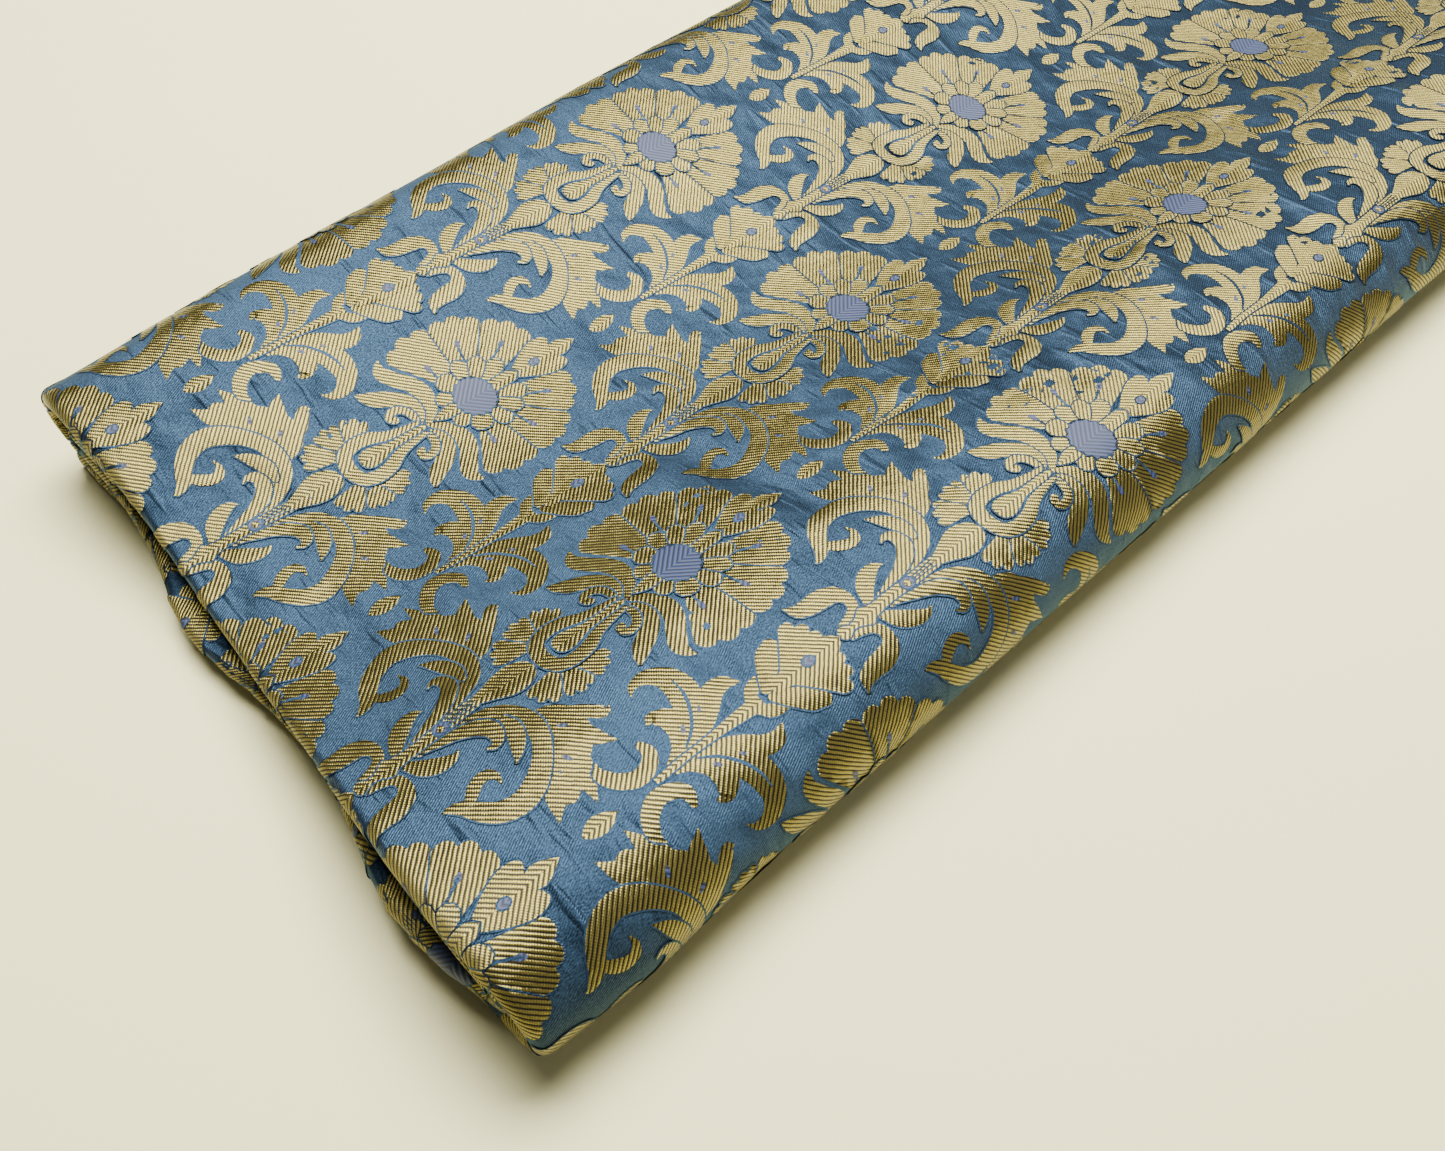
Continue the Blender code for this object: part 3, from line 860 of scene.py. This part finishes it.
def unit_mesh(name, shapes, along_step, out_step):
    """One repeat of some shapes as a flat mesh, its disc at the origin, cut along the cloth's cells."""
    flat = bmesh.new()
    twills = flat.faces.layers.int.new("twill")
    for place, (kind, level, twill, outline, contour, paired) in enumerate(shapes):
        base = level * LEVEL_STEP + (place % HAIR_STEPS) * HAIR
        if isinstance(outline, dict):
            drawn = {"spine": outline["spine"] * COLUMN, "side": outline["side"],
                     "half": outline["half"] * COLUMN, "bend": outline["bend"] * COLUMN}
            for copy in [drawn, mirrored_strip(drawn)] if paired else [drawn]:
                # the darker outline band: the outline thread, with painted shade at the shape's edge
                if contour:
                    add_strip(flat, twills, copy, CONTOUR_WIDTH, base + CONTOUR_RISE, LINE_AND_EDGE_SHADE, twill, False)
                add_strip(flat, twills, copy, 0.0, base + EDGE_RISE, kind, twill, kind == GOLD)
            continue
        drawn = outline * COLUMN
        for copy in [drawn, drawn * (1, -1)] if paired else [drawn]:
            if contour:
                patch = grown(copy, CONTOUR_WIDTH)
                add_patch(flat, twills, patch, base + CONTOUR_RISE, LINE_AND_EDGE_SHADE, twill, False)
            add_patch(flat, twills, copy, base + EDGE_RISE, kind, twill, kind == GOLD)
    reach_along = [vertex.co.x for vertex in flat.verts]
    reach_out = [vertex.co.y for vertex in flat.verts]
    for axis, step, reach in ((0, along_step, reach_along), (1, out_step, reach_out)):
        first = math.floor(min(reach) / step)
        last = math.ceil(max(reach) / step)
        cut_flat(flat, axis, [step * place for place in range(first, last + 1)])
    mesh = bpy.data.meshes.new(name)
    flat.to_mesh(mesh)
    flat.free()
    points = mesh_points(mesh)
    corners = corner_vertices(mesh)
    twill = np.zeros(len(mesh.polygons), dtype=np.int32)
    mesh.attributes["twill"].data.foreach_get("value", twill)
    per_corner = np.repeat(twill, [len(polygon.vertices) for polygon in mesh.polygons])
    places = points[corners, :2] * 1000
    places[:, 1] = np.abs(places[:, 1]) * per_corner
    set_weave_map(mesh, places)
    return mesh


def lattice(columns):
    """Places of the repeat on the flat cloth, for columns counted from the first towards the near side."""
    places = []
    for column in columns:
        shift = REPEAT / 2 if column % 2 else 0.0
        for repeat in REPEATS:
            places.append((FIRST_FLOWER + repeat * REPEAT + shift, -column * COLUMN))
    return places


def clip(flat, axis, place, keep_above):
    normal = Vector((1, 0, 0)) if axis == 0 else Vector((0, 1, 0))
    bmesh.ops.bisect_plane(
        flat, geom=flat.verts[:] + flat.edges[:] + flat.faces[:], dist=1e-7, plane_co=normal * place,
        plane_no=normal, clear_inner=keep_above, clear_outer=not keep_above,
    )


def lay_repeats(cloth, name, unit, columns, limits, materials):
    """Copies of one repeat over part of the cloth: limits are lowest and highest flat x and y."""
    low_x, high_x, low_y, high_y = limits
    points = mesh_points(unit)
    flat = bmesh.new()
    for at_x, at_y in lattice(columns):
        if at_x + points[:, 0].min() > high_x or at_x + points[:, 0].max() < low_x:
            continue
        if at_y + points[:, 1].min() > high_y or at_y + points[:, 1].max() < low_y:
            continue
        copy = unit.copy()
        copy.transform(Matrix.Translation((at_x, at_y, 0)))
        flat.from_mesh(copy)
        bpy.data.meshes.remove(copy)
    clip(flat, 0, low_x, True)
    clip(flat, 0, high_x, False)
    clip(flat, 1, low_y, True)
    clip(flat, 1, high_y, False)
    if not flat.faces:
        flat.free()
        return None
    fine = [place for place in cloth.along if LIP[0] - LIP_MARGIN < place < LIP[1] + LIP_MARGIN]
    cut_near(flat, 0, fine)
    cut_near(flat, 1, cloth.core_turn)
    mesh = bpy.data.meshes.new(name)
    flat.to_mesh(mesh)
    flat.free()
    set_points(mesh, cloth.fold(mesh_points(mesh)))
    mesh.shade_smooth()
    return add_piece(name, mesh, materials)


def satin_ground(cloth, material):
    """The cloth itself: one sheet over all its folds."""
    rows, columns = len(cloth.along), len(cloth.across)
    flat = bmesh.new()
    bmesh.ops.create_grid(flat, x_segments=rows - 1, y_segments=columns - 1, size=0.5)
    mesh = bpy.data.meshes.new("satin_ground")
    flat.to_mesh(mesh)
    flat.free()
    points = mesh_points(mesh)
    row = np.rint((points[:, 0] + 0.5) * (rows - 1)).astype(int)
    column = np.rint((points[:, 1] + 0.5) * (columns - 1)).astype(int)
    flat_points = np.stack([cloth.along[row], cloth.across[column], np.zeros(len(points))], axis=1)
    set_weave_map(mesh, flat_points[corner_vertices(mesh), :2] * 1000)
    set_points(mesh, cloth.fold(flat_points))
    mesh.shade_smooth()
    piece = add_piece("satin_ground", mesh, [material])
    thickness = piece.modifiers.new("ply", "SOLIDIFY")
    thickness.thickness = PLY
    thickness.offset = -1.0
    return piece


# Colours of the threads and the table
GOLD_DULL = (0.29, 0.236, 0.050, 1)
GOLD_FRESH = (0.37, 0.305, 0.080, 1)
GOLD_GAP = (0.030, 0.028, 0.020, 1)
GROUND_DEEP = (0.002, 0.007, 0.018, 1)
GROUND_PALE = (0.023, 0.050, 0.092, 1)
# Darker blue of the outlines and lines: partly the real outline thread, partly painted shade at the raised
# shapes' edges
LINE_AND_EDGE_SHADE_DEEP = (0.003, 0.010, 0.024, 1)
LINE_AND_EDGE_SHADE_PALE = (0.016, 0.038, 0.074, 1)
SATIN_TINT = (0.45, 0.72, 1.0, 1)
VIOLET_DEEP = (0.005, 0.009, 0.032, 1)
VIOLET_PALE = (0.028, 0.050, 0.135, 1)
TABLE_DEEP = (0.86, 0.82, 0.44, 1)
TABLE_PALE = (0.90, 0.86, 0.48, 1)

# Rows of the weave: pitch in millimetres of cloth, lean from across the cloth in radians
TWILL_PITCH = 1.32
TWILL_LEAN = math.radians(45)
FLOAT_PITCH = 0.70
FLOAT_LEAN = math.radians(-38)
VIOLET_PITCH = 1.50
WARP_PITCH = 0.75
WARP_LEAN = math.radians(62)
GRAIN_LEAN = math.radians(20)
WRINKLE_LEAN = math.radians(12)
THREAD_RELIEF = 0.00024     # metres
SATIN_RELIEF = 0.00022
VIOLET_RELIEF = 0.00020


class Material:
    """A Principled material, with short calls for its nodes."""

    def __init__(self, name):
        self.made = bpy.data.materials.new(name)
        self.made.use_nodes = True
        self.tree = self.made.node_tree
        self.shader = self.tree.nodes["Principled BSDF"]

    def node(self, kind, **sockets):
        node = self.tree.nodes.new(kind)
        for name, value in sockets.items():
            self.feed(node.inputs[name.replace("_", " ")], value)
        return node

    def feed(self, socket, value):
        if isinstance(value, bpy.types.NodeSocket):
            self.tree.links.new(value, socket)
        else:
            socket.default_value = value

    def math(self, operation, first, second=0.0):
        node = self.tree.nodes.new("ShaderNodeMath")
        node.operation = operation
        self.feed(node.inputs[0], first)
        self.feed(node.inputs[1], second)
        return node.outputs[0]

    def total(self, *parts):
        """Sum of some values, each times its own share."""
        first, *others = [self.math("MULTIPLY", value, share) for value, share in parts]
        for other in others:
            first = self.math("ADD", first, other)
        return first

    def mix(self, share, first, second):
        node = self.tree.nodes.new("ShaderNodeMix")
        node.data_type = "RGBA"
        self.feed(node.inputs["Factor"], share)
        self.feed(node.inputs["A"], first)
        self.feed(node.inputs["B"], second)
        return node.outputs["Result"]

    def weave_place(self):
        node = self.tree.nodes.new("ShaderNodeUVMap")
        node.uv_map = "weave"
        return node.outputs["UV"]

    def tangent(self):
        node = self.tree.nodes.new("ShaderNodeTangent")
        node.direction_type = "UV_MAP"
        node.uv_map = "weave"
        return node.outputs["Tangent"]

    def turned(self, place, angle=0.0, scale=(1, 1, 1)):
        node = self.node("ShaderNodeMapping", Vector=place, Rotation=(0, 0, angle), Scale=scale)
        return node.outputs["Vector"]

    def noise(self, place, scale, detail=2.0, roughness=0.5):
        node = self.node("ShaderNodeTexNoise", Vector=place, Scale=scale, Detail=detail, Roughness=roughness)
        return node.outputs["Fac"]

    def bands(self, place, pitch, distortion=0.0):
        """Soft stripes along x of a place in millimetres, from 0 to 1."""
        node = self.node(
            "ShaderNodeTexWave", Vector=place, Scale=math.pi / 10 / pitch,
            Distortion=distortion, Detail=1.0, Detail_Scale=1.5,
        )
        return node.outputs["Fac"]

    def spread(self, value, low, high, to_low=0.0, to_high=1.0):
        node = self.node(
            "ShaderNodeMapRange", Value=value, From_Min=low, From_Max=high, To_Min=to_low, To_Max=to_high,
        )
        return node.outputs["Result"]

    def wrinkles(self, place):
        """Sparse short wrinkles across the cloth, from 0 to 1."""
        bent = self.noise(self.turned(place, WRINKLE_LEAN, (0.17, 0.030, 1)), 1.0, 2.0, 0.4)
        return self.spread(bent, 0.58, 0.74)

    def bump(self, height, strength, distance):
        node = self.node("ShaderNodeBump", Height=height, Strength=strength, Distance=distance)
        self.feed(self.shader.inputs["Normal"], node.outputs["Normal"])

    def set(self, **sockets):
        for name, value in sockets.items():
            self.feed(self.shader.inputs[name.replace("_", " ")], value)


def gold_thread():
    """Gold weft floats in twill rows, with fine dark gaps between them."""
    gold = Material("gold_weft")
    place = gold.weave_place()
    rows = gold.bands(gold.turned(place, TWILL_LEAN), TWILL_PITCH, 0.7)
    floats = gold.bands(gold.turned(place, FLOAT_LEAN), FLOAT_PITCH, 0.8)
    worn = gold.noise(place, 0.020, 3.0)
    grain = gold.noise(place, 2.2, 2.0)
    lines = gold.spread(rows, 0.12, 0.62)
    shade = gold.math("MULTIPLY", lines, gold.spread(floats, 0.0, 1.0, 0.66, 1.0))
    shade = gold.math("MULTIPLY", shade, gold.spread(grain, 0.3, 0.7, 0.66, 1.14))
    bright = gold.mix(gold.spread(worn, 0.3, 0.7), GOLD_DULL, GOLD_FRESH)
    gold.set(Base_Color=gold.mix(shade, GOLD_GAP, bright))
    gold.set(Roughness=gold.spread(shade, 0.0, 1.0, 0.50, 0.33), Metallic=0.86, Anisotropic=0.92)
    gold.set(Tangent=gold.tangent())
    puckers = gold.noise(place, 0.10, 2.0)
    height = gold.total((rows, 0.7), (floats, 0.3), (puckers, 4.5), (gold.wrinkles(place), 1.6))
    gold.bump(height, 0.55, THREAD_RELIEF)
    return gold.made


def satin(name, deep, pale, grain_strength):
    """Satin: fine leaning warps with a broken grain, pale along the length."""
    cloth = Material(name)
    place = cloth.weave_place()
    grain = cloth.noise(cloth.turned(place, GRAIN_LEAN, (1.0, 1.6, 1)), 1.15, 3.0, 0.65)
    broad = cloth.noise(place, 0.012, 3.0)
    warps = cloth.bands(cloth.turned(place, WARP_LEAN), WARP_PITCH, 1.2)
    mottled = cloth.total((grain, 0.80), (broad, 0.20))
    cloth.set(Base_Color=cloth.mix(cloth.spread(mottled, 0.38, 0.60), deep, pale))
    cloth.set(Roughness=cloth.spread(grain, 0.3, 0.7, 0.50, 0.40), Metallic=0.60, Anisotropic=0.75)
    cloth.set(Anisotropic_Rotation=0.25, Specular_Tint=SATIN_TINT, Sheen_Weight=0.06, Sheen_Roughness=0.5)
    cloth.set(Tangent=cloth.tangent())
    puckers = cloth.noise(place, 0.075, 1.5)
    height = cloth.total((grain, 0.6), (warps, 0.4), (puckers, 8.5), (cloth.wrinkles(place), 2.0))
    cloth.bump(height, grain_strength, SATIN_RELIEF)
    return cloth.made


def violet_thread():
    """Violet blue weft of the disc and the small spots, in the same twill rows."""
    violet = Material("violet_weft")
    place = violet.weave_place()
    rows = violet.bands(violet.turned(place, TWILL_LEAN), VIOLET_PITCH, 0.4)
    grain = violet.noise(place, 2.0, 2.0)
    shade = violet.math("MULTIPLY", violet.spread(rows, 0.1, 0.7), violet.spread(grain, 0.3, 0.7, 0.75, 1.1))
    violet.set(Base_Color=violet.mix(shade, VIOLET_DEEP, VIOLET_PALE))
    violet.set(Roughness=0.55, Metallic=0.10, Anisotropic=0.4)
    violet.set(Tangent=violet.tangent())
    violet.bump(rows, 0.5, VIOLET_RELIEF)
    return violet.made


def table_top():
    """A plain pale surface under the cloth."""
    flat = bmesh.new()
    bmesh.ops.create_grid(flat, x_segments=1, y_segments=1, size=TABLE_SIZE)
    mesh = bpy.data.meshes.new("table_top")
    flat.to_mesh(mesh)
    flat.free()
    card = Material("table_card")
    place = card.node("ShaderNodeTexCoord").outputs["Object"]
    soft = card.noise(place, 3.0, 2.0)
    card.set(Base_Color=card.mix(soft, TABLE_DEEP, TABLE_PALE), Roughness=0.65)
    floor = add_piece("table_top", mesh, [card.made])


TABLE_SIZE = 4.0            # half of its side
LAMP_COLOUR = (1.0, 0.975, 0.90)
FILL_COLOUR = (1.0, 0.975, 0.93)
ROOM_COLOUR = (1.0, 0.98, 0.93, 1)
ROOM_STRENGTH = 0.060


def soft_box(name, at, aim, size, power, colour):
    """A large rectangular lamp: place and aim in metres, power in watts."""
    light = bpy.data.lights.new(name, "AREA")
    light.shape = "RECTANGLE"
    light.size, light.size_y = size
    light.energy = power
    light.color = colour
    lamp = bpy.data.objects.new(name, light)
    lamp.location = at
    lamp.rotation_euler = (Vector(aim) - Vector(at)).to_track_quat("-Z", "Y").to_euler()
    bpy.context.scene.collection.objects.link(lamp)


def lights():
    soft_box("overhead_box", (0.37, 0.37, 1.45), (0.10, 0.05, 0.0), (1.34, 0.87), 108.0, LAMP_COLOUR)
    soft_box("near_box", (0.30, -1.35, 0.85), (0.05, 0.0, 0.0), (1.3, 0.6), 3.5, FILL_COLOUR)
    world = bpy.data.worlds.new("room")
    world.use_nodes = True
    backdrop = world.node_tree.nodes["Background"]
    backdrop.inputs["Color"].default_value = ROOM_COLOUR
    backdrop.inputs["Strength"].default_value = ROOM_STRENGTH
    bpy.context.scene.world = world


# Where the photograph was taken from, in the fold's own measure
CAMERA_AT = Vector((-0.31987, -0.24131, 0.34428))
CAMERA_AHEAD = Vector((0.38967, 0.43342, -0.81259))
CAMERA_LENS = 30.79         # mm, on a 36 mm wide sensor


def camera():
    seen = bpy.data.cameras.new("camera")
    seen.lens = CAMERA_LENS
    seen.sensor_width = 36.0
    seen.clip_start = 0.01
    view = bpy.data.objects.new("camera", seen)
    view.location = CAMERA_AT - Vector((*STACK_MIDDLE, 0.0))
    view.rotation_euler = CAMERA_AHEAD.to_track_quat("-Z", "Y").to_euler()
    bpy.context.scene.collection.objects.link(view)
    bpy.context.scene.camera = view


# How far the pattern goes on the flat cloth
SELVEDGE = 0.0005           # plain satin beyond it at the cut edges
LIP_INSET = 0.002           # it stops this far inside the left fold
ROLL_OVERLAP = 0.030        # the fine pattern goes this far beyond the top face, over each roll
SEEN_INSIDE = -0.272        # flat x to which the inner runs show it


def build():
    cloth = FoldedCloth()
    blue = satin("blue_satin", GROUND_DEEP, GROUND_PALE, 1.0)
    # line satin: the outline thread's blue, darkened with painted shade along the gold shapes' edges
    line = satin("line_and_edge_shade_satin", LINE_AND_EDGE_SHADE_DEEP, LINE_AND_EDGE_SHADE_PALE, 0.6)
    inks = [gold_thread(), line, violet_thread()]
    ground = satin_ground(cloth, blue)
    low_x, high_x = LIP[0] + LIP_INSET, RIGHT_END - SELVEDGE
    under_y, over_y = TOP_FACE[0] - ROLL_OVERLAP, TOP_FACE[1] + ROLL_OVERLAP
    whole = (low_x, high_x, under_y, over_y)
    beneath = (low_x, high_x, cloth.first + SELVEDGE, under_y)
    hidden = (low_x, SEEN_INSIDE, over_y, cloth.last - SELVEDGE)
    groups = (
        ("flowers", flower_shapes()),
        ("calyxes", calyx_shapes()),
        ("leaves", acanthus_shapes()),
        ("stems", stem_shapes()),
        ("small_plants", small_plant_shapes()),
    )
    motifs = []
    for name, shapes in groups:
        fine = unit_mesh("unit_" + name, shapes, LENGTH_CUT, WIDTH_CUT)
        coarse = unit_mesh(
            "coarse_" + name, shapes, LENGTH_CUT * COARSE_UNIT_LENGTH, WIDTH_CUT * COARSE_WIDTH,
        )
        for side, unit, limits, columns in (
            ("top", fine, whole, range(-3, 8)),
            ("under", coarse, beneath, range(4, 14)),
            ("inner", coarse, hidden, range(-18, 1)),
        ):
            piece = lay_repeats(cloth, name + "_" + side, unit, columns, limits, inks)
            if piece:
                motifs.append(piece)
        bpy.data.meshes.remove(fine)
        bpy.data.meshes.remove(coarse)
    for piece in [ground] + motifs:
        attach(piece, "root")
        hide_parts("folded_brocade")


build()
table_top()
lights()
camera()
